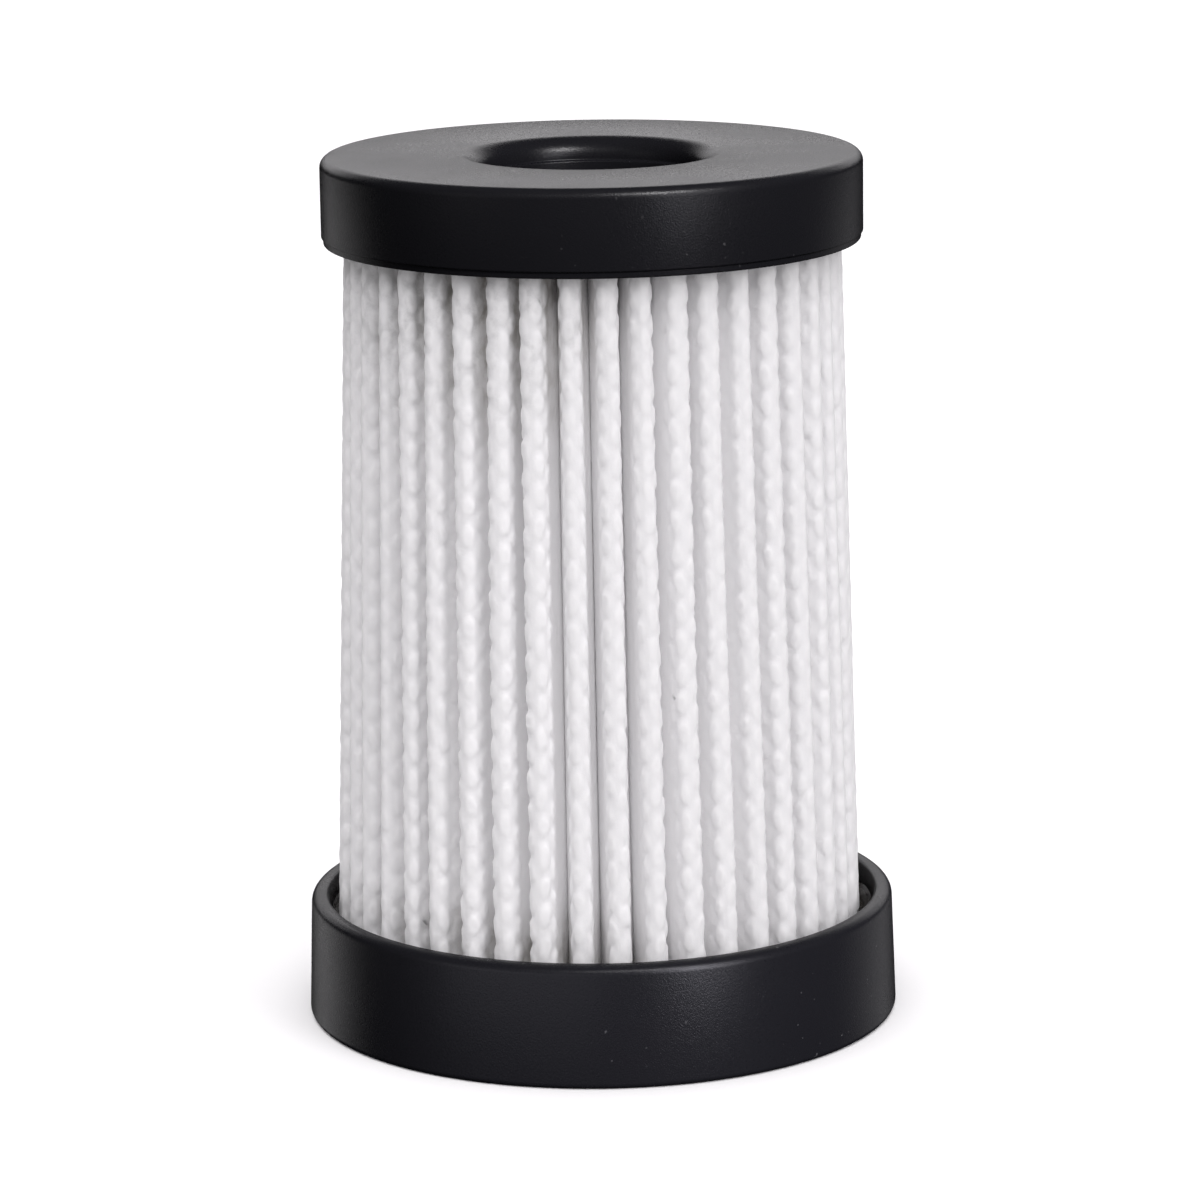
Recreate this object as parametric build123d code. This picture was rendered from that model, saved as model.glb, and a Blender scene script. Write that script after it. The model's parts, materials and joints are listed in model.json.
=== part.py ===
from build123d import *
import os
from math import asin, cos, hypot, pi, radians, sin, sqrt

# A pleated cartridge filter of a vacuum cleaner. It stands on its closed cap with its outlet up.
# Millimetres, +Z up, with the filter's axis on Z and the underside of the closed cap at Z = 0.

# Whole filter
TOTAL_HEIGHT = 105.0

# Open cap at the top: a moulded ring with an outer skirt and a collar round the outlet
TOP_RADIUS = 32.3
TOP_HEIGHT = 10.3
TOP_PLATE = 2.3
TOP_SKIRT_WALL = 1.9
TOP_EDGE_ROUND = 1.2
LIP_HEIGHT = 0.8
LIP_STEP = 0.25
BORE_RADIUS = 13.0
BORE_LEDGE = 0.55
MOUTH_ROUND = 2.4
COLLAR_WALL = 1.9
COLLAR_DEPTH = 8.6

# Closed cap at the bottom: a moulded cup that widens a little towards its base
BASE_RADIUS = 36.0
RIM_RADIUS = 35.5
CUP_HEIGHT = 14.7
CUP_FLOOR = 2.0
RIM_WALL = 2.1
CUP_INNER_DRAFT = 0.2
RIM_OUTER_ROUND = 1.1
RIM_INNER_BEVEL = 0.4
BASE_EDGE_BEVEL = 0.6
BOSS_RADIUS = 16.8
BOSS_WALL = 1.6
BOSS_HEIGHT = 6.0

# Folded filter sheet, a closed ring of pleats that narrows towards the top
PLEATS = 43
SHEET = 0.6
PLEAT_DEPTH = 12.2
CREST_RADIUS_LOW = 32.1
CREST_RADIUS_HIGH = 29.5
CREST_FOLD = 1.0
FIRST_CREST = -94.7  # degrees round Z from +X

# Adhesive in both caps: a layer under the folds' ends and a bead on each side of them
GLUE_LAYER = 1.0
GLUE_GAP = 0.05
LOW_BEAD_HEIGHT = 9.0
HIGH_BEAD_HEIGHT = 5.0
INNER_BEAD_HEIGHT = 3.5

# Support core, a slotted taper tube inside the pleats
CORE_RADIUS_LOW = 18.6
CORE_RADIUS_HIGH = 16.6
CORE_WALL = 1.4
CORE_COLUMNS = 10
CORE_ROWS = 3
CORE_SLOT_WIDTH = 8.0
CORE_HOOP = 3.0
CORE_END = 10.0

# Heights that follow from the sizes above
top_underside = TOTAL_HEIGHT - TOP_PLATE
skirt_end = TOTAL_HEIGHT - TOP_HEIGHT
pleat_low = CUP_FLOOR + GLUE_LAYER
pleat_high = top_underside - GLUE_LAYER


def along(low_value, high_value, low_height, high_height, height):
    """A value that changes evenly with height."""
    return low_value + (high_value - low_value) * (height - low_height) / (high_height - low_height)


def crest_radius(height):
    return along(CREST_RADIUS_LOW, CREST_RADIUS_HIGH, pleat_low, pleat_high, height)


def core_radius(height):
    return along(CORE_RADIUS_LOW, CORE_RADIUS_HIGH, CUP_FLOOR, top_underside, height)


def cup_inner_radius(height):
    rim_inner = RIM_RADIUS - RIM_WALL
    return along(rim_inner - CUP_INNER_DRAFT, rim_inner, CUP_FLOOR, CUP_HEIGHT, height)


def turned(edges):
    """A solid of revolution round Z from the closed half section that the edges draw in X and Z."""
    return revolve(make_face(Curve() + edges), axis=Axis.Z)


def outline(points):
    """Straight edges through points given as (radius, height), closed back to the first."""
    places = [(radius, 0, height) for radius, height in points]
    return [Line(start, end) for start, end in zip(places, places[1:] + places[:1])]


def open_cap():
    skirt_inner = TOP_RADIUS - TOP_SKIRT_WALL
    collar_outer = BORE_RADIUS + COLLAR_WALL
    collar_end = TOTAL_HEIGHT - COLLAR_DEPTH
    throat = BORE_RADIUS + BORE_LEDGE
    mouth = throat + MOUTH_ROUND
    ledge = TOTAL_HEIGHT - MOUTH_ROUND
    corner = TOP_RADIUS - TOP_EDGE_ROUND
    edge_round = TOTAL_HEIGHT - TOP_EDGE_ROUND
    slant = TOP_EDGE_ROUND * sqrt(0.5)
    bell = MOUTH_ROUND * (1 - sqrt(0.5))
    lip_top = skirt_end + LIP_HEIGHT
    outer_round = ThreePointArc(
        (corner, 0, TOTAL_HEIGHT),
        (corner + slant, 0, edge_round + slant),
        (TOP_RADIUS, 0, edge_round),
    )
    below = Polyline(
        (TOP_RADIUS, 0, edge_round),
        (TOP_RADIUS, 0, lip_top),
        (TOP_RADIUS - LIP_STEP, 0, lip_top),
        (TOP_RADIUS - LIP_STEP, 0, skirt_end),
        (skirt_inner, 0, skirt_end),
        (skirt_inner, 0, top_underside),
        (collar_outer, 0, top_underside),
        (collar_outer, 0, collar_end),
        (BORE_RADIUS, 0, collar_end),
        (BORE_RADIUS, 0, ledge),
        (throat, 0, ledge),
    )
    bell_mouth = ThreePointArc(
        (throat, 0, ledge),
        (throat + bell, 0, TOTAL_HEIGHT - bell),
        (mouth, 0, TOTAL_HEIGHT),
    )
    face_line = Line((mouth, 0, TOTAL_HEIGHT), (corner, 0, TOTAL_HEIGHT))
    return turned([outer_round, below, bell_mouth, face_line])


def closed_cap():
    rim_inner = RIM_RADIUS - RIM_WALL
    corner = RIM_RADIUS - RIM_OUTER_ROUND
    round_low = CUP_HEIGHT - RIM_OUTER_ROUND
    slant = RIM_OUTER_ROUND * sqrt(0.5)
    boss_top = CUP_FLOOR + BOSS_HEIGHT
    below = Polyline(
        (0, 0, 0),
        (BASE_RADIUS - BASE_EDGE_BEVEL, 0, 0),
        (BASE_RADIUS, 0, BASE_EDGE_BEVEL),
        (RIM_RADIUS, 0, round_low),
    )
    rim_round = ThreePointArc(
        (RIM_RADIUS, 0, round_low),
        (corner + slant, 0, round_low + slant),
        (corner, 0, CUP_HEIGHT),
    )
    inside = Polyline(
        (corner, 0, CUP_HEIGHT),
        (rim_inner + RIM_INNER_BEVEL, 0, CUP_HEIGHT),
        (cup_inner_radius(CUP_HEIGHT - RIM_INNER_BEVEL), 0, CUP_HEIGHT - RIM_INNER_BEVEL),
        (cup_inner_radius(CUP_FLOOR), 0, CUP_FLOOR),
        (BOSS_RADIUS, 0, CUP_FLOOR),
        (BOSS_RADIUS, 0, boss_top),
        (BOSS_RADIUS - BOSS_WALL, 0, boss_top),
        (BOSS_RADIUS - BOSS_WALL, 0, CUP_FLOOR),
        (0, 0, CUP_FLOOR),
        (0, 0, 0),
    )
    return turned([below, rim_round, inside])


def pleat_outline(height, side):
    """One face of the folded sheet at a height: side is +1 for the outer face and -1 for the inner.

    Each pleat is a wide crest fold and a valley crease, joined by flanks. The crease is tight, so it is a
    corner on the outer face and an arc as wide as the sheet on the inner face.
    """
    step = 2 * pi / PLEATS
    crest = crest_radius(height)
    crest_fold = CREST_FOLD + side * SHEET / 2
    valley_fold = SHEET / 2 - side * SHEET / 2
    crest_centre = crest - SHEET / 2 - CREST_FOLD
    valley_centre = crest - PLEAT_DEPTH + SHEET

    # The flank leaves the crest at right angles to a line turned this far from the radius
    valley_x = valley_centre * cos(step / 2) - crest_centre
    valley_y = valley_centre * sin(step / 2)
    apart = hypot(valley_x, valley_y)
    lean = asin((CREST_FOLD + SHEET / 2) / apart)
    along_x = valley_x / apart
    along_y = valley_y / apart
    normal_x = along_x * sin(lean) + along_y * cos(lean)
    normal_y = along_y * sin(lean) - along_x * cos(lean)

    crest_end = (crest_centre + crest_fold * normal_x, crest_fold * normal_y)
    flank_end = (
        valley_centre * cos(step / 2) - valley_fold * normal_x,
        valley_centre * sin(step / 2) - valley_fold * normal_y,
    )
    valley_bottom = (
        (valley_centre - valley_fold) * cos(step / 2),
        (valley_centre - valley_fold) * sin(step / 2),
    )

    def place(point, turn, flip=1):
        x, y = point[0], flip * point[1]
        return (x * cos(turn) - y * sin(turn), x * sin(turn) + y * cos(turn), height)

    edges = []
    for index in range(PLEATS):
        turn = radians(FIRST_CREST) + index * step
        after = turn + step
        top = place((crest_centre + crest_fold, 0), turn)
        edges.append(ThreePointArc(place(crest_end, turn, -1), top, place(crest_end, turn)))
        edges.append(Line(place(crest_end, turn), place(flank_end, turn)))
        if valley_fold > 0:
            bottom = place(valley_bottom, turn)
            edges.append(ThreePointArc(place(flank_end, turn), bottom, place(flank_end, after, -1)))
        edges.append(Line(place(flank_end, after, -1), place(crest_end, after, -1)))
    return Wire(edges)


def pleat_ring():
    heights = (pleat_low, pleat_high)
    outer = Solid.make_loft([pleat_outline(height, 1) for height in heights], ruled=True)
    inner = Solid.make_loft([pleat_outline(height, -1) for height in heights], ruled=True)
    return outer - inner


def low_glue():
    """Adhesive in the cup, with a trough that the lower ends of the folds stand in."""
    top = CUP_FLOOR + LOW_BEAD_HEIGHT
    inner_top = CUP_FLOOR + INNER_BEAD_HEIGHT
    valley_gap = PLEAT_DEPTH + GLUE_GAP
    return turned(outline([
        (core_radius(CUP_FLOOR), CUP_FLOOR),
        (cup_inner_radius(CUP_FLOOR), CUP_FLOOR),
        (cup_inner_radius(top), top),
        (crest_radius(top) + GLUE_GAP, top),
        (crest_radius(pleat_low) + GLUE_GAP, pleat_low),
        (crest_radius(pleat_low) - valley_gap, pleat_low),
        (crest_radius(inner_top) - valley_gap, inner_top),
        (core_radius(inner_top), inner_top),
    ]))


def high_glue():
    """Adhesive in the open cap, with a trough that the upper ends of the folds reach into."""
    skirt_inner = TOP_RADIUS - TOP_SKIRT_WALL
    end = top_underside - HIGH_BEAD_HEIGHT
    inner_end = top_underside - INNER_BEAD_HEIGHT
    valley_gap = PLEAT_DEPTH + GLUE_GAP
    return turned(outline([
        (core_radius(top_underside), top_underside),
        (core_radius(inner_end), inner_end),
        (crest_radius(inner_end) - valley_gap, inner_end),
        (crest_radius(pleat_high) - valley_gap, pleat_high),
        (crest_radius(pleat_high) + GLUE_GAP, pleat_high),
        (crest_radius(end) + GLUE_GAP, end),
        (skirt_inner, end),
        (skirt_inner, top_underside),
    ]))


def core_cage():
    """A taper tube with rows of slots between ribs and hoops."""
    tube = turned(outline([
        (core_radius(CUP_FLOOR) - CORE_WALL, CUP_FLOOR),
        (core_radius(CUP_FLOOR), CUP_FLOOR),
        (core_radius(top_underside), top_underside),
        (core_radius(top_underside) - CORE_WALL, top_underside),
    ]))
    slot_span = top_underside - CUP_FLOOR - 2 * CORE_END + CORE_HOOP
    row_step = slot_span / CORE_ROWS
    slot_height = row_step - CORE_HOOP
    reach = CORE_RADIUS_LOW + CORE_WALL
    slots = []
    for row in range(CORE_ROWS):
        middle = CUP_FLOOR + CORE_END + row * row_step + slot_height / 2
        for column in range(CORE_COLUMNS):
            turn = Rot(0, 0, column * 360 / CORE_COLUMNS)
            slots.append(turn * Pos(reach / 2, 0, middle) * Box(reach, CORE_SLOT_WIDTH, slot_height))
    return tube - slots


pieces = {
    "top_cap": open_cap(),
    "bottom_cap": closed_cap(),
    "pleated_media": pleat_ring(),
    "top_potting": high_glue(),
    "bottom_potting": low_glue(),
    "support_core": core_cage(),
}

os.makedirs("parts", exist_ok=True)
for name, piece in pieces.items():
    export_step(piece, f"parts/{name}.step")
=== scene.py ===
import json
from math import asin, atan2, cos, hypot, pi, radians, sin, tan, tau

import bpy
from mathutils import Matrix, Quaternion, Vector, noise


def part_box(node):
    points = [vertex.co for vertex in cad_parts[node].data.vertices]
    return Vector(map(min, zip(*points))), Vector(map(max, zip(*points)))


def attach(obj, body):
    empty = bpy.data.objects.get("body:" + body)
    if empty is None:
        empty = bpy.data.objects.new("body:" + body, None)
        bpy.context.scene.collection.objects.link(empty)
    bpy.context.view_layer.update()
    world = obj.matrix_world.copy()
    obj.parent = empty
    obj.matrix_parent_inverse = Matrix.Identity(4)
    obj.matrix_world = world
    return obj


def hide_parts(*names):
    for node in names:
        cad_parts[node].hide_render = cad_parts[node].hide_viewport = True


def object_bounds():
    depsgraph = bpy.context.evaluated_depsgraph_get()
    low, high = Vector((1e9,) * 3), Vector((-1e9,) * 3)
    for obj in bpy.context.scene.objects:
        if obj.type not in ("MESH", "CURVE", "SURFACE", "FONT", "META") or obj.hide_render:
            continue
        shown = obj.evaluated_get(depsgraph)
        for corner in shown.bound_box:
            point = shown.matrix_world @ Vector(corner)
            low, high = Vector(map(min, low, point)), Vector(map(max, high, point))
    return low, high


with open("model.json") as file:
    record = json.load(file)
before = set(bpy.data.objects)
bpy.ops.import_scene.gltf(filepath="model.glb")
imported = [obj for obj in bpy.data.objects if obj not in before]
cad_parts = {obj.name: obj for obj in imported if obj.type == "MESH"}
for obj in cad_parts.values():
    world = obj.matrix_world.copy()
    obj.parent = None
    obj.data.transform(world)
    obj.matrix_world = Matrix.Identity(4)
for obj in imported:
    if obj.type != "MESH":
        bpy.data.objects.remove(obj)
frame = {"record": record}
cad_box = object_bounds()

MM = 0.001

# Main sizes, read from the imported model
TOTAL_HEIGHT = cad_box[1][2]
TOP_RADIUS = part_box("top_cap")[1][0]
SKIRT_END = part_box("top_cap")[0][2]
BASE_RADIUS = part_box("bottom_cap")[1][0]
CUP_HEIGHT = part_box("bottom_cap")[1][2]
PLEAT_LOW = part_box("pleated_media")[0][2]
PLEAT_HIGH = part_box("pleated_media")[1][2]
BEAD_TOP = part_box("bottom_potting")[1][2]
BORE_RADIUS = frame["record"]["mounts"][0]["dims"]["r_mm"] * MM

# Open cap
TOP_PLATE = 2.3 * MM
TOP_SKIRT_WALL = 1.9 * MM
TOP_EDGE_ROUND = 1.2 * MM
LIP_HEIGHT = 0.8 * MM
LIP_STEP = 0.25 * MM
BORE_LEDGE = 0.55 * MM
MOUTH_ROUND = 2.4 * MM
COLLAR_WALL = 1.9 * MM
COLLAR_DEPTH = 8.6 * MM

# Closed cap
RIM_RADIUS = 35.5 * MM
CUP_FLOOR = 2.0 * MM
RIM_WALL = 2.1 * MM
CUP_INNER_DRAFT = 0.2 * MM
RIM_OUTER_ROUND = 1.1 * MM
RIM_INNER_ROUND = 0.5 * MM
BASE_EDGE_ROUND = 0.7 * MM
BOSS_RADIUS = 16.8 * MM
BOSS_WALL = 1.6 * MM
BOSS_HEIGHT = 6.0 * MM

# Moulded corners that are neither rounded on purpose nor knife sharp
SMALL_ROUND = 0.18 * MM

# Folded sheet
PLEATS = 43
SHEET = 0.6 * MM
PLEAT_DEPTH = 12.2 * MM
CREST_RADIUS_LOW = 32.1 * MM
CREST_RADIUS_HIGH = 29.5 * MM
CREST_FOLD = 1.0 * MM
FIRST_CREST = radians(-94.7)
SEAM_MERGE = 0.002 * MM
MOST_SHEET_TRIANGLES = 195000

# Embossing of the sheet: puffed oval cells in staggered columns
CELLS = {
    "Cell across": 2.0 * MM,
    "Cell up": 3.55 * MM,
    "Cell half width": 0.9 * MM,
    "Cell half height": 1.45 * MM,
}

# Strength of the room's light and, in watts, of the lamps
ROOM_LIGHT = 0.35
CEILING_LIGHT = 1.77
LIGHTS = {"right": 3.75, "front": 2.45, "left": 0.75, "behind": 26.5}
TOP_CAP_LIGHTS = {"strip": 5.2, "fill": 0.05, "left": 1.16, "right": 0.51, "bar": 20.0}
CUP_LIGHTS = {"strip": 31.0, "fill": 4.7, "left": 1.3, "right": 0.74, "bar": 7.0}

# Sideways place and length of the lamp that draws the line along each cap's rounded edge
TOP_BAR = (0.42, 0.3)
CUP_BAR = (0.26, 0.6)

# Colour of the lamps
DAYLIGHT = (1.0, 0.98, 1.0)
COOL = (0.97, 0.95, 1.05)

# Adhesive
INNER_BEAD_HEIGHT = 3.5 * MM
CORE_RADIUS_LOW = 18.6 * MM
RUN_IN = 2.5 * MM
CLIMB = 0.7 * MM
UNEVEN_TOP = 0.9 * MM

# Grey on the sheet, partly dirt and partly painted shade: its side, away from the key light, where it starts
# and is full that way and upwards under the top cap, and its height at the foot above the cup
DIRT_AND_SHADE_SIDE = (-0.77, -0.64, 0.0)
DIRT_AND_SHADE_ASIDE = (11.0 * MM, 27.0 * MM)
DIRT_AND_SHADE_UP = (68.0 * MM, 97.0 * MM)
FOOT_DIRT_AND_SHADE = 6.0 * MM


def keep(piece, node):
    """Fix a finished piece to the filter, in place of its CAD node, which is hidden."""
    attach(piece, "root")
    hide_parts(node)


# Node trees

def put(tree, kind, inputs=(), **settings):
    """Add a node, give its settings, and link or set its inputs, given as pairs of socket and value."""
    made = tree.nodes.new(kind)
    for name, value in settings.items():
        setattr(made, name, value)
    for key, value in inputs:
        socket = made.inputs[key]
        if isinstance(value, bpy.types.NodeSocket):
            tree.links.new(value, socket)
        else:
            socket.default_value = value
    return made


def calc(tree, operation, *values):
    """One step of arithmetic on sockets and plain numbers."""
    return put(tree, "ShaderNodeMath", list(enumerate(values)), operation=operation).outputs[0]


def total(tree, *values):
    result = values[0]
    for value in values[1:]:
        result = calc(tree, "ADD", result, value)
    return result


def product(tree, *values):
    result = values[0]
    for value in values[1:]:
        result = calc(tree, "MULTIPLY", result, value)
    return result


def less(tree, first, second):
    return calc(tree, "SUBTRACT", first, second)


def ratio(tree, first, second):
    return calc(tree, "DIVIDE", first, second)


def length(tree, first, second):
    """Length of a step with these two sides."""
    return calc(tree, "SQRT", total(tree, product(tree, first, first), product(tree, second, second)))


def remap(tree, value, low, high, new_low, new_high, smooth=False):
    kind = "SMOOTHSTEP" if smooth else "LINEAR"
    pairs = [(0, value), (1, low), (2, high), (3, new_low), (4, new_high)]
    return put(tree, "ShaderNodeMapRange", pairs, interpolation_type=kind).outputs[0]


def choose(tree, amount, first, second):
    return put(tree, "ShaderNodeMix", [(0, amount), (2, first), (3, second)]).outputs[0]


def joined(tree, x, y, z=0.0):
    return put(tree, "ShaderNodeCombineXYZ", [(0, x), (1, y), (2, z)]).outputs[0]


def puffed_cells(tree, across, up, cells):
    """Height of the embossing at a place on the flat strip: 0 between the cells, 1 round the shoulder of
    each cell and less in its middle."""
    away = []
    for shift in (0.0, 1.0):
        column = cells["Cell across"]
        half_row = product(tree, cells["Cell up"], 0.5)
        aside = calc(tree, "WRAP", less(tree, across, product(tree, column, shift)), column,
                     product(tree, column, -1.0))
        above = calc(tree, "WRAP", less(tree, up, product(tree, half_row, shift)), half_row,
                     product(tree, half_row, -1.0))
        away.append(length(tree, ratio(tree, aside, cells["Cell half width"]),
                           ratio(tree, above, cells["Cell half height"])))
    nearest = calc(tree, "MINIMUM", *away)
    puff = remap(tree, nearest, 0.55, 1.15, 1.0, 0.0, smooth=True)
    dimple = remap(tree, nearest, 0.0, 0.6, 0.45, 0.0, smooth=True)
    return less(tree, puff, dimple)


# Folded sheet, made by Geometry Nodes from one grid that is wrapped round the pleats

def strip_grid(tree, given):
    """A grid with its columns along the strip and its rows up the outer face. Three more rows go over the
    upper edge, down the inner face and back under the lower edge, and close the sheet."""
    columns = product(tree, given["Pleats"], given["Columns"])
    rows = total(tree, given["Rows"], 2)
    grid = put(tree, "GeometryNodeMeshGrid", [
        ("Size X", given["Pleats"]), ("Size Y", rows),
        ("Vertices X", total(tree, columns, 1)), ("Vertices Y", total(tree, rows, 1)),
    ]).outputs["Mesh"]
    place = put(tree, "GeometryNodeInputPosition").outputs[0]
    spot = put(tree, "ShaderNodeSeparateXYZ", [(0, place)]).outputs
    strip = total(tree, spot["X"], product(tree, given["Pleats"], 0.5))
    row = calc(tree, "ROUND", total(tree, spot["Y"], product(tree, rows, 0.5)))
    return grid, strip, row


def pleat_and_reach(tree, given, strip):
    """Which pleat a column is in, and how far from its crest as a fraction from -1 to 1. The columns
    crowd towards the crest."""
    last_pleat = less(tree, given["Pleats"], 1)
    pleat = calc(tree, "MINIMUM", calc(tree, "FLOOR", total(tree, strip, 0.0001)), last_pleat)
    even = less(tree, product(tree, less(tree, strip, pleat), 2), 1)
    cubed = product(tree, even, even, even)
    return pleat, choose(tree, given["Crowding"], even, cubed)


def height_and_face(tree, given, row):
    """How far up the sheet a row lies, from 0 to 1, and whether it is on the inner face."""
    last = less(tree, given["Rows"], 1)
    past_top = calc(tree, "GREATER_THAN", row, total(tree, last, 0.5))
    low_again = calc(tree, "GREATER_THAN", row, total(tree, last, 1.5))
    first_again = calc(tree, "GREATER_THAN", row, total(tree, last, 2.5))
    up = product(tree, calc(tree, "MINIMUM", ratio(tree, row, last), 1), less(tree, 1, low_again))
    return up, less(tree, past_top, first_again)


def pleat_section(tree, given, crest, crest_fold, reach, inner):
    """Place on the section of one pleat: a crest fold, and a flank that runs down to the crease. Some way
    down, the flank turns out in a quarter round and all but closes the gap to the next pleat."""
    half_step = ratio(tree, pi, given["Pleats"])
    half_sheet = product(tree, given["Sheet"], 0.5)
    outer_fold = total(tree, crest_fold, half_sheet)
    crest_centre = less(tree, crest, outer_fold)
    crease = total(tree, less(tree, crest, given["Depth"]), given["Sheet"])
    crease_cosine = calc(tree, "COSINE", half_step)
    crease_sine = calc(tree, "SINE", half_step)
    apart_x = less(tree, product(tree, crease, crease_cosine), crest_centre)
    apart_y = product(tree, crease, crease_sine)
    apart = length(tree, apart_x, apart_y)
    lean = calc(tree, "ARCSINE", ratio(tree, outer_fold, apart))
    turn = less(tree, total(tree, calc(tree, "ARCTAN2", apart_y, apart_x), lean), pi / 2)
    flank = product(tree, apart, calc(tree, "COSINE", lean))

    # Along the sheet from the crest: first round the fold, then down the flank
    fold_length = product(tree, outer_fold, turn)
    half_length = total(tree, fold_length, flank)
    distance = product(tree, calc(tree, "ABSOLUTE", reach), half_length)
    angle = calc(tree, "MINIMUM", ratio(tree, distance, outer_fold), turn)
    down = calc(tree, "MAXIMUM", ratio(tree, less(tree, distance, fold_length), flank), 0)
    face_fold = less(tree, outer_fold, product(tree, inner, given["Sheet"]))
    run = product(tree, down, flank)
    flank_turn = total(tree, turn, pi / 2)
    radial = total(tree, crest_centre, product(tree, face_fold, calc(tree, "COSINE", angle)),
                   product(tree, run, calc(tree, "COSINE", flank_turn)))
    mouth = less(tree, product(tree, crest_centre, calc(tree, "TANGENT", half_step)), outer_fold)
    gap = product(tree, mouth, less(tree, 1.0, down))
    closing = remap(tree, down, given["Belly start"], given["Belly end"], 0.0, 1.0)
    still_open = calc(tree, "SQRT", less(tree, 1.0, product(tree, closing, closing)))
    closed = product(tree, less(tree, 1.0, still_open), given["Belly"])
    aside = total(tree, product(tree, face_fold, calc(tree, "SINE", angle)),
                  product(tree, run, calc(tree, "SINE", flank_turn)), product(tree, gap, closed))

    # On the inner face the last column is the underside of the crease
    at_crease = product(tree, inner, calc(tree, "GREATER_THAN", down, 0.999))
    under = less(tree, crease, given["Sheet"])
    radial = choose(tree, at_crease, radial, product(tree, under, crease_cosine))
    aside = choose(tree, at_crease, aside, product(tree, under, crease_sine))
    return radial, product(tree, aside, calc(tree, "SIGN", reach)), down, distance, half_length


def per_pleat(tree, given, pleat, low, high, draw):
    """A value drawn once for each pleat."""
    seed = total(tree, given["Seed"], draw)
    pairs = [(2, low), (3, high), ("ID", pleat), ("Seed", seed)]
    return put(tree, "FunctionNodeRandomValue", pairs, data_type="FLOAT").outputs[1]


def crest_wander(tree, given, pleat, up):
    """How far a crest wanders sideways and in and out at this height, each from -0.5 to 0.5."""
    wander = put(tree, "ShaderNodeTexNoise", [
        ("Vector", joined(tree, product(tree, pleat, 3.7), product(tree, up, given["Waves"]))),
        ("W", given["Seed"]), ("Scale", 1.0), ("Detail", 1.0),
    ], noise_dimensions="4D").outputs["Color"]
    hues = put(tree, "FunctionNodeSeparateColor", [(0, wander)]).outputs
    return less(tree, hues[0], 0.5), less(tree, hues[1], 0.5)


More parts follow.
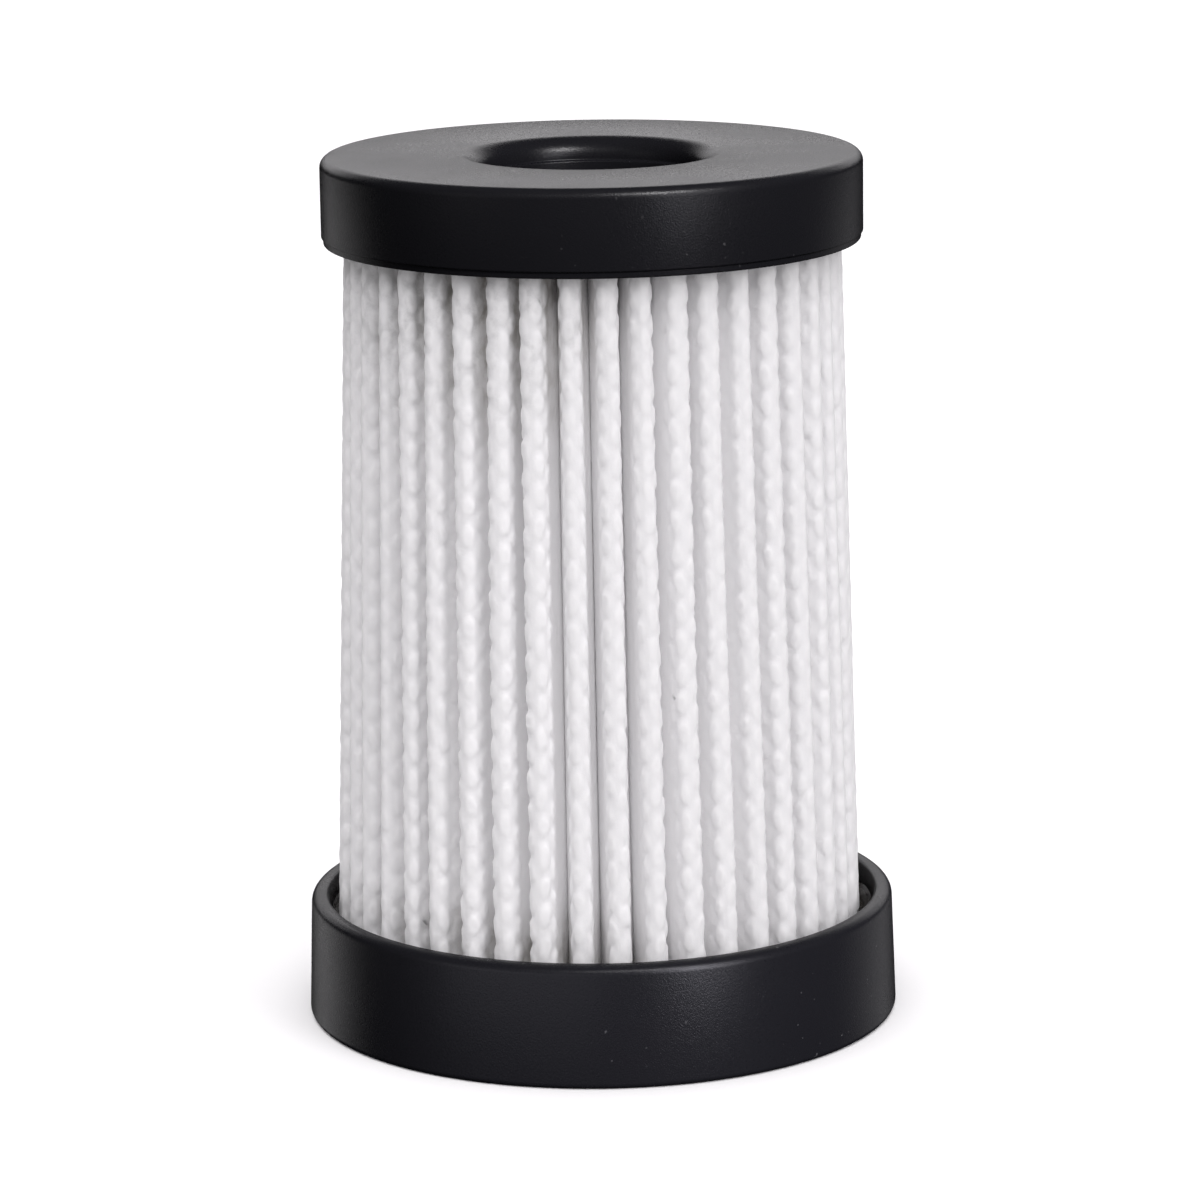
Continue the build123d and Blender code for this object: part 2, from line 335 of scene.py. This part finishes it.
def pleat_tree(inputs):
    """The tree of the folded sheet, with a named input for each size in inputs."""
    tree = bpy.data.node_groups.new("folded sheet", "GeometryNodeTree")
    tree.interface.new_socket("Geometry", in_out="OUTPUT", socket_type="NodeSocketGeometry")
    for name, value in inputs.items():
        kind = {int: "NodeSocketInt", float: "NodeSocketFloat"}.get(type(value), "NodeSocketMaterial")
        tree.interface.new_socket(name, in_out="INPUT", socket_type=kind)
    given = put(tree, "NodeGroupInput").outputs

    grid, strip, row = strip_grid(tree, given)
    pleat, reach = pleat_and_reach(tree, given, strip)
    up, inner = height_and_face(tree, given, row)
    height = choose(tree, up, given["Low"], given["High"])
    crest = choose(tree, up, given["Low crest"], given["High crest"])
    narrow = less(tree, 1.0, given["Fold variety"])
    wide = total(tree, 1.0, given["Fold variety"])
    crest_fold = product(tree, given["Crest fold"], per_pleat(tree, given, pleat, narrow, wide, 1))
    radial, aside, down, distance, half_length = pleat_section(tree, given, crest, crest_fold, reach, inner)

    # Hand-made unevenness: crests wander, and the creases stay where they are. Where the gap has closed,
    # both of its flanks follow the mean of their two crests, so that neighbours do not cut into each other
    still_free = less(tree, 1.0, down)
    loose = product(tree, still_free, still_free)
    beyond = calc(tree, "WRAP", total(tree, pleat, calc(tree, "SIGN", reach)), given["Pleats"], 0.0)
    own_sway, own_bulge = crest_wander(tree, given, pleat, up)
    next_sway, next_bulge = crest_wander(tree, given, beyond, up)
    shared = remap(tree, down, given["Belly start"], given["Belly end"], 0.0, 0.5, smooth=True)
    sway = product(tree, choose(tree, shared, own_sway, next_sway), given["Sway"], loose)
    bulge = product(tree, choose(tree, shared, own_bulge, next_bulge), given["Bulge"], loose)
    twist = product(tree, less(tree, 0.5, up), given["Twist"])
    pitch = ratio(tree, tau, given["Pleats"])
    around = total(tree, given["First crest"], twist, sway, product(tree, pleat, pitch),
                   calc(tree, "ARCTAN2", aside, radial))
    spread = total(tree, bulge, length(tree, radial, aside))
    lean = product(tree, less(tree, 1.0, up), given["Lean"])
    folded = joined(
        tree,
        total(tree, lean, product(tree, spread, calc(tree, "COSINE", around))),
        product(tree, spread, calc(tree, "SINE", around)),
        height,
    )

    # Place in the pattern pressed into the flat strip, pulled a little out of true as felt is. It is kept
    # as a map for the sheet's material, together with how far down the fold it is
    strip_place = product(tree, half_length, total(tree, product(tree, pleat, 2), reach, 1))
    pull = put(tree, "ShaderNodeTexNoise", [
        ("Vector", joined(tree, strip_place, height)), ("Scale", 320.0), ("Detail", 1.0),
    ]).outputs["Color"]
    pulls = put(tree, "FunctionNodeSeparateColor", [(0, pull)]).outputs
    pattern_across = total(tree, strip_place, product(tree, less(tree, pulls[0], 0.5), given["Pull"]))
    pattern_up = total(tree, height, product(tree, less(tree, pulls[1], 0.5), given["Pull"]))
    mapped = put(tree, "GeometryNodeStoreNamedAttribute", [
        ("Geometry", grid), ("Name", "strip"), ("Value", joined(tree, pattern_across, pattern_up)),
    ], data_type="FLOAT2", domain="CORNER").outputs[0]
    creased = put(tree, "GeometryNodeStoreNamedAttribute", [
        ("Geometry", mapped), ("Name", "fold"), ("Value", calc(tree, "ABSOLUTE", reach)),
    ], data_type="FLOAT", domain="POINT").outputs[0]

    # Embossing, where the sheet can be seen from outside
    cells = {name: given[name] for name in CELLS}
    far = product(tree, given["Puff reach"], 1.6)
    in_view = remap(tree, distance, given["Puff reach"], far, 1.0, 0.0, smooth=True)
    patchy = remap(tree, pulls[2], 0.3, 0.7, 0.5, 1.3)
    strength = product(tree, per_pleat(tree, given, pleat, 0.7, 1.1, 2), patchy)
    shoulder = product(tree, given["Crest fold"], 1.4)
    pressed = remap(tree, distance, product(tree, shoulder, 0.3), shoulder, given["Crest relief"], 1.0)
    relief = less(tree, puffed_cells(tree, pattern_across, pattern_up, cells), 0.5)
    puff = product(tree, relief, in_view, strength, pressed, less(tree, 1.0, inner), given["Puff"])
    marked = put(tree, "GeometryNodeStoreNamedAttribute", [
        ("Geometry", creased), ("Name", "puff"), ("Value", puff),
    ], data_type="FLOAT", domain="POINT").outputs[0]
    shaped = put(tree, "GeometryNodeSetPosition", [("Geometry", marked), ("Position", folded)]).outputs[0]
    closed = put(tree, "GeometryNodeMergeByDistance", [
        ("Geometry", shaped), ("Distance", SEAM_MERGE),
    ]).outputs[0]
    kept_puff = put(tree, "GeometryNodeInputNamedAttribute", [("Name", "puff")], data_type="FLOAT")
    offset = put(tree, "ShaderNodeVectorMath", [
        (0, put(tree, "GeometryNodeInputNormal").outputs[0]), ("Scale", kept_puff.outputs["Attribute"]),
    ], operation="SCALE").outputs[0]
    embossed = put(tree, "GeometryNodeSetPosition", [("Geometry", closed), ("Offset", offset)]).outputs[0]
    bare = put(tree, "GeometryNodeRemoveAttribute", [("Geometry", embossed), ("Name", "puff")]).outputs[0]
    real = put(tree, "GeometryNodeRealizeInstances", [("Geometry", bare)]).outputs[0]
    dressed = put(tree, "GeometryNodeSetMaterial", [("Geometry", real), ("Material", given["Material"])])
    put(tree, "NodeGroupOutput", [("Geometry", dressed.outputs[0])])
    return tree


def grown(name, tree, inputs):
    """A plain mesh object grown by a Geometry Nodes tree with these inputs."""
    seed_mesh = bpy.data.meshes.new(name + " start")
    start = bpy.data.objects.new(name + " start", seed_mesh)
    bpy.context.collection.objects.link(start)
    modifier = start.modifiers.new("grow", "NODES")
    modifier.node_group = tree
    for item in tree.interface.items_tree:
        if item.in_out == "INPUT" and item.name in inputs:
            modifier[item.identifier] = inputs[item.name]
    depsgraph = bpy.context.evaluated_depsgraph_get()
    mesh = bpy.data.meshes.new_from_object(start.evaluated_get(depsgraph))
    start.modifiers.clear()
    bpy.data.objects.remove(start)
    bpy.data.meshes.remove(seed_mesh)
    return linked(name, mesh)


def linked(name, mesh):
    """An object in the scene that holds this mesh."""
    mesh.name = name
    piece = bpy.data.objects.new(name, mesh)
    bpy.context.collection.objects.link(piece)
    return piece


def thin_out(piece, most_triangles):
    """Merge the flattest triangles of a piece until it has no more than this many."""
    piece.data.calc_loop_triangles()
    count = len(piece.data.loop_triangles)
    if count <= most_triangles:
        return
    modifier = piece.modifiers.new("thin out", "DECIMATE")
    modifier.ratio = most_triangles / count
    depsgraph = bpy.context.evaluated_depsgraph_get()
    thinner = bpy.data.meshes.new_from_object(piece.evaluated_get(depsgraph))
    piece.modifiers.clear()
    thick = piece.data
    piece.data = thinner
    bpy.data.meshes.remove(thick)
    thinner.name = piece.name


def folded_sheet(material):
    sizes = {
        "Pleats": PLEATS,
        "Columns": 44,
        "Rows": 240,
        "Crowding": 0.6,
        "Seed": 969,
        "Low": PLEAT_LOW,
        "High": PLEAT_HIGH,
        "Low crest": CREST_RADIUS_LOW,
        "High crest": CREST_RADIUS_HIGH,
        "Depth": PLEAT_DEPTH,
        "Sheet": SHEET,
        "Crest fold": CREST_FOLD,
        "Fold variety": 0.1,
        "Belly": 0.975,
        "Belly start": 0.2,
        "Belly end": 0.38,
        "First crest": FIRST_CREST,
        "Twist": radians(2.2),
        "Lean": -0.35 * MM,
        "Waves": 0.6,
        "Sway": radians(3.4),
        "Bulge": 0.6 * MM,
        "Puff": 0.28 * MM,
        "Crest relief": 0.35,
        "Puff reach": 3.2 * MM,
        "Pull": 1.6 * MM,
        "Material": material,
    } | CELLS
    piece = grown("folded_sheet", pleat_tree(sizes), sizes)
    thin_out(piece, MOST_SHEET_TRIANGLES)
    piece.data.shade_smooth()
    return piece


# Turned pieces

def rounded(section, steps=6):
    """Points of a closed half section given as (radius, height, corner round)."""
    points = []
    for index, (radius, height, corner) in enumerate(section):
        here = Vector((radius, height))
        if corner <= 0:
            points.append(here)
            continue
        before = (Vector(section[index - 1][:2]) - here).normalized()
        after = (Vector(section[(index + 1) % len(section)][:2]) - here).normalized()
        half = before.angle(after) / 2
        reach = corner / tan(half)
        centre = here + (before + after).normalized() * (corner / sin(half))
        start = here + before * reach - centre
        end = here + after * reach - centre
        sweep = -start.angle_signed(end)
        for step in range(steps + 1):
            turn = sweep * step / steps
            points.append(centre + Vector((
                start.x * cos(turn) - start.y * sin(turn),
                start.x * sin(turn) + start.y * cos(turn),
            )))
    return points


def turned(name, section, material, segments=224):
    """A closed piece of revolution round Z from a half section that runs anticlockwise."""
    vertices = []
    rings = []
    for radius, height in rounded(section):
        if radius < 1e-7:
            rings.append([len(vertices)] * segments)
            vertices.append((0, 0, height))
            continue
        ring = []
        for index in range(segments):
            angle = tau * index / segments
            ring.append(len(vertices))
            vertices.append((radius * cos(angle), radius * sin(angle), height))
        rings.append(ring)
    faces = []
    for ring, after in zip(rings, rings[1:] + rings[:1]):
        for index in range(segments):
            other = (index + 1) % segments
            corners = [ring[index], ring[other], after[other], after[index]]
            face = list(dict.fromkeys(corners))
            if len(face) > 2:
                faces.append(face)
    mesh = bpy.data.meshes.new(name)
    mesh.from_pydata(vertices, [], faces)
    mesh.validate()
    mesh.shade_smooth()
    mesh.set_sharp_from_angle(angle=radians(40))
    mesh.materials.append(material)
    return linked(name, mesh)


def open_cap(material):
    skirt_inner = TOP_RADIUS - TOP_SKIRT_WALL
    underside = TOTAL_HEIGHT - TOP_PLATE
    collar_outer = BORE_RADIUS + COLLAR_WALL
    collar_end = TOTAL_HEIGHT - COLLAR_DEPTH
    throat = BORE_RADIUS + BORE_LEDGE
    ledge = TOTAL_HEIGHT - MOUTH_ROUND - 2 * SMALL_ROUND
    lip_radius = TOP_RADIUS - LIP_STEP
    lip_top = SKIRT_END + LIP_HEIGHT
    return turned("open_cap", [
        (TOP_RADIUS, TOTAL_HEIGHT, TOP_EDGE_ROUND),
        (throat, TOTAL_HEIGHT, MOUTH_ROUND),
        (throat, ledge, SMALL_ROUND),
        (BORE_RADIUS, ledge, SMALL_ROUND),
        (BORE_RADIUS, collar_end, SMALL_ROUND),
        (collar_outer, collar_end, SMALL_ROUND),
        (collar_outer, underside, 0),
        (skirt_inner, underside, 0),
        (skirt_inner, SKIRT_END, SMALL_ROUND),
        (lip_radius, SKIRT_END, SMALL_ROUND),
        (lip_radius, lip_top, 0.3 * LIP_STEP),
        (TOP_RADIUS, lip_top, 0.6 * LIP_STEP),
    ], material)


def closed_cap(material):
    rim_inner = RIM_RADIUS - RIM_WALL
    boss_inner = BOSS_RADIUS - BOSS_WALL
    boss_top = CUP_FLOOR + BOSS_HEIGHT
    return turned("closed_cap", [
        (0, 0, 0),
        (BASE_RADIUS, 0, BASE_EDGE_ROUND),
        (RIM_RADIUS, CUP_HEIGHT, RIM_OUTER_ROUND),
        (rim_inner, CUP_HEIGHT, RIM_INNER_ROUND),
        (rim_inner - CUP_INNER_DRAFT, CUP_FLOOR, 0),
        (BOSS_RADIUS, CUP_FLOOR, 0),
        (BOSS_RADIUS, boss_top, SMALL_ROUND),
        (boss_inner, boss_top, SMALL_ROUND),
        (boss_inner, CUP_FLOOR, 0),
        (0, CUP_FLOOR, 0),
    ], material)


def lower_adhesive(material):
    """Adhesive poured into the cup. It runs in between the folds, climbs them and the wall, and has set with
    an uneven top."""
    wall_low = RIM_RADIUS - RIM_WALL - CUP_INNER_DRAFT
    wall_top = wall_low + CUP_INNER_DRAFT * (BEAD_TOP - CUP_FLOOR) / (CUP_HEIGHT - CUP_FLOOR)
    in_folds = CREST_RADIUS_LOW - RUN_IN
    inner_wall = CREST_RADIUS_LOW - PLEAT_DEPTH
    inner_top = CUP_FLOOR + INNER_BEAD_HEIGHT
    piece = turned("lower_adhesive", [
        (CORE_RADIUS_LOW, CUP_FLOOR, 0),
        (wall_low, CUP_FLOOR, 0),
        (wall_top, BEAD_TOP + CLIMB, 0),
        (wall_top - 0.3 * MM, BEAD_TOP + 0.2 * CLIMB, 0),
        (wall_top - 0.8 * MM, BEAD_TOP, 0),
        (CREST_RADIUS_LOW - 0.1 * MM, BEAD_TOP + 0.3 * CLIMB, 0),
        (CREST_RADIUS_LOW - 0.6 * MM, BEAD_TOP + CLIMB, 0),
        (in_folds, BEAD_TOP, 0),
        (in_folds, PLEAT_LOW, 0),
        (inner_wall, PLEAT_LOW, 0),
        (inner_wall, inner_top, 0),
        (CORE_RADIUS_LOW, inner_top, 0),
    ], material)
    for vertex in piece.data.vertices:
        if vertex.co.z > BEAD_TOP - 0.1 * MM:
            vertex.co.z += UNEVEN_TOP * noise.noise(vertex.co * 140.0)
    return piece


# Materials

def new_material(name):
    material = bpy.data.materials.new(name)
    material.use_nodes = True
    tree = material.node_tree
    return material, tree, tree.nodes["Principled BSDF"]


def cloud(tree, place, scale, detail=2.0, roughness=0.5):
    return put(tree, "ShaderNodeTexNoise", [
        ("Vector", place), ("Scale", scale), ("Detail", detail), ("Roughness", roughness),
    ]).outputs["Fac"]


def blend_colour(tree, amount, first, second):
    return put(tree, "ShaderNodeMix", [(0, amount), (6, first), (7, second)], data_type="RGBA").outputs[2]


def raise_bump(tree, shader, height, depth, strength=1.0):
    bump = put(tree, "ShaderNodeBump", [("Height", height), ("Distance", depth), ("Strength", strength)])
    tree.links.new(bump.outputs["Normal"], shader.inputs["Normal"])


def moulded_plastic(name, colour, dust_colour):
    """Black satin plastic with a fine spark-eroded grain, soft flow marks and a little dust, most of it in
    the outlet."""
    material, tree, shader = new_material(name)
    place = put(tree, "ShaderNodeTexCoord").outputs["Object"]
    specks = remap(tree, cloud(tree, place, 1300.0, 1.0), 0.74, 0.8, 0.0, 1.0)
    patches = remap(tree, cloud(tree, place, 45.0), 0.48, 0.68, 0.0, 1.0)
    spot = put(tree, "ShaderNodeSeparateXYZ", [(0, place)]).outputs
    from_axis = length(tree, spot["X"], spot["Y"])
    settled = remap(tree, from_axis, BORE_RADIUS + MOUTH_ROUND, TOP_RADIUS, 0.8, 0.12)
    dust = product(tree, specks, patches, settled)
    tree.links.new(blend_colour(tree, dust, colour, dust_colour), shader.inputs["Base Color"])
    flow = total(tree, cloud(tree, place, 60.0, 3.0), product(tree, cloud(tree, place, 2600.0, 1.0), 0.6))
    tree.links.new(remap(tree, flow, 0.5, 1.1, 0.24, 0.34), shader.inputs["Roughness"])
    shader.inputs["Specular IOR Level"].default_value = 0.08
    raise_bump(tree, shader, cloud(tree, place, 5000.0, 2.0, 0.6), 0.028 * MM)
    return material


def filter_felt():
    """White embossed felt: puffed cells, matted fibres, and grey blotches of dirt and painted shade between
    the folds, high up under the top cap on the side away from the key light, and at the foot above the cup."""
    material, tree, shader = new_material("filter_felt")
    strip = put(tree, "ShaderNodeUVMap", uv_map="strip").outputs[0]
    place = put(tree, "ShaderNodeTexCoord").outputs["Object"]
    flat = put(tree, "ShaderNodeSeparateXYZ", [(0, strip)]).outputs
    cells = puffed_cells(tree, flat[0], flat[1], CELLS)
    fold = put(tree, "ShaderNodeAttribute", attribute_name="fold").outputs["Fac"]

    # Partly the felt's own tone and partly painted light: the puffed cells are painted lighter, a painted
    # highlight on their relief, and the thin places between the cells and among the fibres are greyer
    clumps = remap(tree, cloud(tree, strip, 700.0, 4.0, 0.6), 0.3, 0.7, 0.0, 0.5)
    felt_tone_and_puff_light = total(tree, product(tree, cells, 0.5), clumps)
    on_flank = remap(tree, fold, 0.12, 0.35, 0.0, 1.0, smooth=True)
    felt_tone_and_puff_light = choose(tree, on_flank, felt_tone_and_puff_light, 0.9)
    colour = blend_colour(tree, felt_tone_and_puff_light, (0.9, 0.897, 0.905, 1), (0.97, 0.967, 0.97, 1))

    # Painted shade and dirt: grey blotches, darker deeper in the folds and between the cells, high up under
    # the top cap and at the foot above the cup, on the side away from the key light
    height = put(tree, "ShaderNodeSeparateXYZ", [(0, place)]).outputs["Z"]
    towards = put(tree, "ShaderNodeVectorMath", [(0, place), (1, DIRT_AND_SHADE_SIDE)], operation="DOT_PRODUCT")
    side = remap(tree, towards.outputs["Value"], *DIRT_AND_SHADE_ASIDE, 0.0, 1.0, smooth=True)
    high = remap(tree, height, *DIRT_AND_SHADE_UP, 0.0, 1.0, smooth=True)
    low = remap(tree, height, CUP_HEIGHT, CUP_HEIGHT + FOOT_DIRT_AND_SHADE, 0.6, 0.0, smooth=True)
    blotches = remap(tree, cloud(tree, place, 260.0, 6.0, 0.62), 0.4, 0.62, 0.25, 1.15, smooth=True)
    sunk = remap(tree, fold, 0.05, 0.22, 0.6, 0.9, smooth=True)
    dimples = remap(tree, cells, 0.0, 0.8, 1.0, 0.55)
    dirt_and_shade = product(tree, side, total(tree, high, low), blotches, sunk, dimples)
    dirt_and_shade_colour = blend_colour(tree, on_flank, (0.5, 0.5, 0.5, 1), (0.42, 0.4, 0.36, 1))
    colour = blend_colour(tree, dirt_and_shade, colour, dirt_and_shade_colour)
    tree.links.new(colour, shader.inputs["Base Color"])

    tree.links.new(remap(tree, cells, 0.0, 1.0, 0.9, 0.65), shader.inputs["Roughness"])
    shader.inputs["Specular IOR Level"].default_value = 0.2
    fibres = cloud(tree, strip, 3800.0, 4.0, 0.65)
    tufts = cloud(tree, strip, 900.0, 3.0)
    relief = total(tree, product(tree, fibres, 0.4), product(tree, tufts, 0.5), product(tree, cells, 0.35))
    raise_bump(tree, shader, relief, 0.1 * MM, 0.8)
    return material


def poured_adhesive():
    """Dark, glossy adhesive that set with a slightly uneven skin."""
    material, tree, shader = new_material("poured_adhesive")
    place = put(tree, "ShaderNodeTexCoord").outputs["Object"]
    swirl = cloud(tree, place, 350.0)
    colour = blend_colour(tree, swirl, (0.012, 0.011, 0.01, 1), (0.035, 0.032, 0.029, 1))
    tree.links.new(colour, shader.inputs["Base Color"])
    tree.links.new(remap(tree, swirl, 0.3, 0.7, 0.12, 0.3), shader.inputs["Roughness"])
    raise_bump(tree, shader, swirl, 0.3 * MM, 0.5)
    return material


def dress(node, material):
    """Give a CAD node that stays a finish of its own."""
    mesh = bpy.data.objects[node].data
    mesh.materials.clear()
    mesh.materials.append(material)


# Studio

def camera_like_photo():
    eye = Vector((0.3, -598.9, 183.1)) * MM
    aim = Vector((0.3, 0.0, 50.45)) * MM
    roll = radians(-0.83)
    data = bpy.data.cameras.new("camera")
    data.lens = 151.9
    data.sensor_width = 36.0
    data.clip_start = 0.01
    camera = bpy.data.objects.new("camera", data)
    camera.location = eye
    camera.rotation_mode = "QUATERNION"
    camera.rotation_quaternion = (aim - eye).to_track_quat("-Z", "Y") @ Quaternion((0, 0, 1), roll)
    bpy.context.collection.objects.link(camera)
    bpy.context.scene.camera = camera


def area_light(name, place, aim, width, height, power, colour=DAYLIGHT):
    data = bpy.data.lights.new(name, "AREA")
    data.color = colour
    data.shape = "RECTANGLE"
    data.size = width
    data.size_y = height
    data.energy = power
    light = bpy.data.objects.new(name, data)
    light.visible_camera = False
    light.location = place
    light.rotation_mode = "QUATERNION"
    light.rotation_quaternion = (Vector(aim) - Vector(place)).to_track_quat("-Z", "Y")
    bpy.context.collection.objects.link(light)
    return light


def pale_floor():
    material, tree, shader = new_material("pale_floor")
    place = put(tree, "ShaderNodeTexCoord").outputs["Object"]
    tone = blend_colour(tree, cloud(tree, place, 3.0), (0.94, 0.94, 0.94, 1), (0.96, 0.96, 0.96, 1))
    tree.links.new(tone, shader.inputs["Base Color"])
    shader.inputs["Roughness"].default_value = 0.9
    shader.inputs["Specular IOR Level"].default_value = 0.1
    mesh = bpy.data.meshes.new("floor")
    half = 4.0
    corners = [(-half, -half, 0), (half, -half, 0), (half, half, 0), (-half, half, 0)]
    mesh.from_pydata(corners, [], [(0, 1, 2, 3)])
    mesh.materials.append(material)
    floor = linked("floor", mesh)
    # The floor stays white without whitening the black caps and the foot of the folds
    floor.visible_glossy = False
    floor.visible_diffuse = False
    floor.visible_shadow = False


def pale_room():
    """A pale room, brightest overhead. Its light is soft and leaves no reflections."""
    world = bpy.data.worlds.new("studio")
    world.use_nodes = True
    tree = world.node_tree
    backdrop = tree.nodes["Background"]
    backdrop.inputs["Color"].default_value = (*DAYLIGHT, 1)
    direction = put(tree, "ShaderNodeTexCoord").outputs["Generated"]
    towards = put(tree, "ShaderNodeSeparateXYZ", [(0, direction)]).outputs
    overhead = remap(tree, towards["Z"], 0.45, 0.95, ROOM_LIGHT, ROOM_LIGHT + CEILING_LIGHT, smooth=True)
    tree.links.new(overhead, backdrop.inputs["Strength"])
    world.cycles_visibility.glossy = False
    bpy.context.scene.world = world


def lit_only(light, pieces):
    """Keep a light to these pieces."""
    receivers = bpy.data.collections.new("lit_by_" + light.name)
    for piece in pieces:
        receivers.objects.link(piece)
    light.light_linking.receiver_collection = receivers


def studio(top_piece, cup_piece):
    """Soft light all round, softboxes in front, and reflectors that only the black caps see."""
    pale_room()
    middle = (0, 0, 0.05)
    area_light("softbox_right", (0.66, -0.78, 0.40), middle, 0.5, 0.6, LIGHTS["right"])
    area_light("softbox_front", (-0.10, -0.95, 0.80), middle, 0.9, 0.5, LIGHTS["front"])
    area_light("softbox_left", (-0.80, -0.62, 0.35), middle, 0.5, 0.6, LIGHTS["left"])
    caps = (top_piece, cup_piece)
    top_middle = (0, 0, TOTAL_HEIGHT)
    behind = area_light("panel_behind", (0, 2.4, 0.95), top_middle, 4.4, 1.05, LIGHTS["behind"])
    lit_only(behind, caps)
    settings = ((top_piece, TOP_CAP_LIGHTS, TOP_BAR), (cup_piece, CUP_LIGHTS, CUP_BAR))
    for cap, powers, (aside, bar_length) in settings:
        bar = area_light("bar_" + cap.name, (aside, -0.65, 0.75), middle, bar_length, 0.1, powers["bar"])
        lit_only(bar, [cap])
        strip_place = (0.56, -0.74, 0.45)
        strip = area_light("strip_" + cap.name, strip_place, (0, 0, 0.45), 0.12, 0.9, powers["strip"], COOL)
        lit_only(strip, [cap])
        fill = area_light("fill_" + cap.name, (-0.5, -0.82, 0.05), middle, 1.2, 0.5, powers["fill"], COOL)
        lit_only(fill, [cap])
        # A weak glow from the floor on each side, in place of the floor's own reflection
        for name, side in (("left", -1), ("right", 1)):
            glow_place = (0.9 * side, 0.8, -0.22)
            glow = area_light(f"glow_{name}_{cap.name}", glow_place, middle, 0.8, 0.5, powers[name])
            lit_only(glow, [cap])
    scene = bpy.context.scene
    scene.view_settings.view_transform = "Standard"
    scene.view_settings.look = "None"
    # Light passes several times between the white folds
    scene.cycles.diffuse_bounces = 7


camera_like_photo()
pale_floor()
cap_plastic = moulded_plastic("cap_plastic", (0.0035, 0.0035, 0.0042, 1), (0.25, 0.25, 0.25, 1))
core_plastic = moulded_plastic("core_plastic", (0.006, 0.006, 0.007, 1), (0.2, 0.2, 0.2, 1))
adhesive = poured_adhesive()

top = open_cap(cap_plastic)
keep(top, "top_cap")
cup = closed_cap(cap_plastic)
keep(cup, "bottom_cap")
keep(lower_adhesive(adhesive), "bottom_potting")
sheet = folded_sheet(filter_felt())
keep(sheet, "pleated_media")
dress("top_potting", adhesive)
dress("support_core", core_plastic)
studio(top, cup)
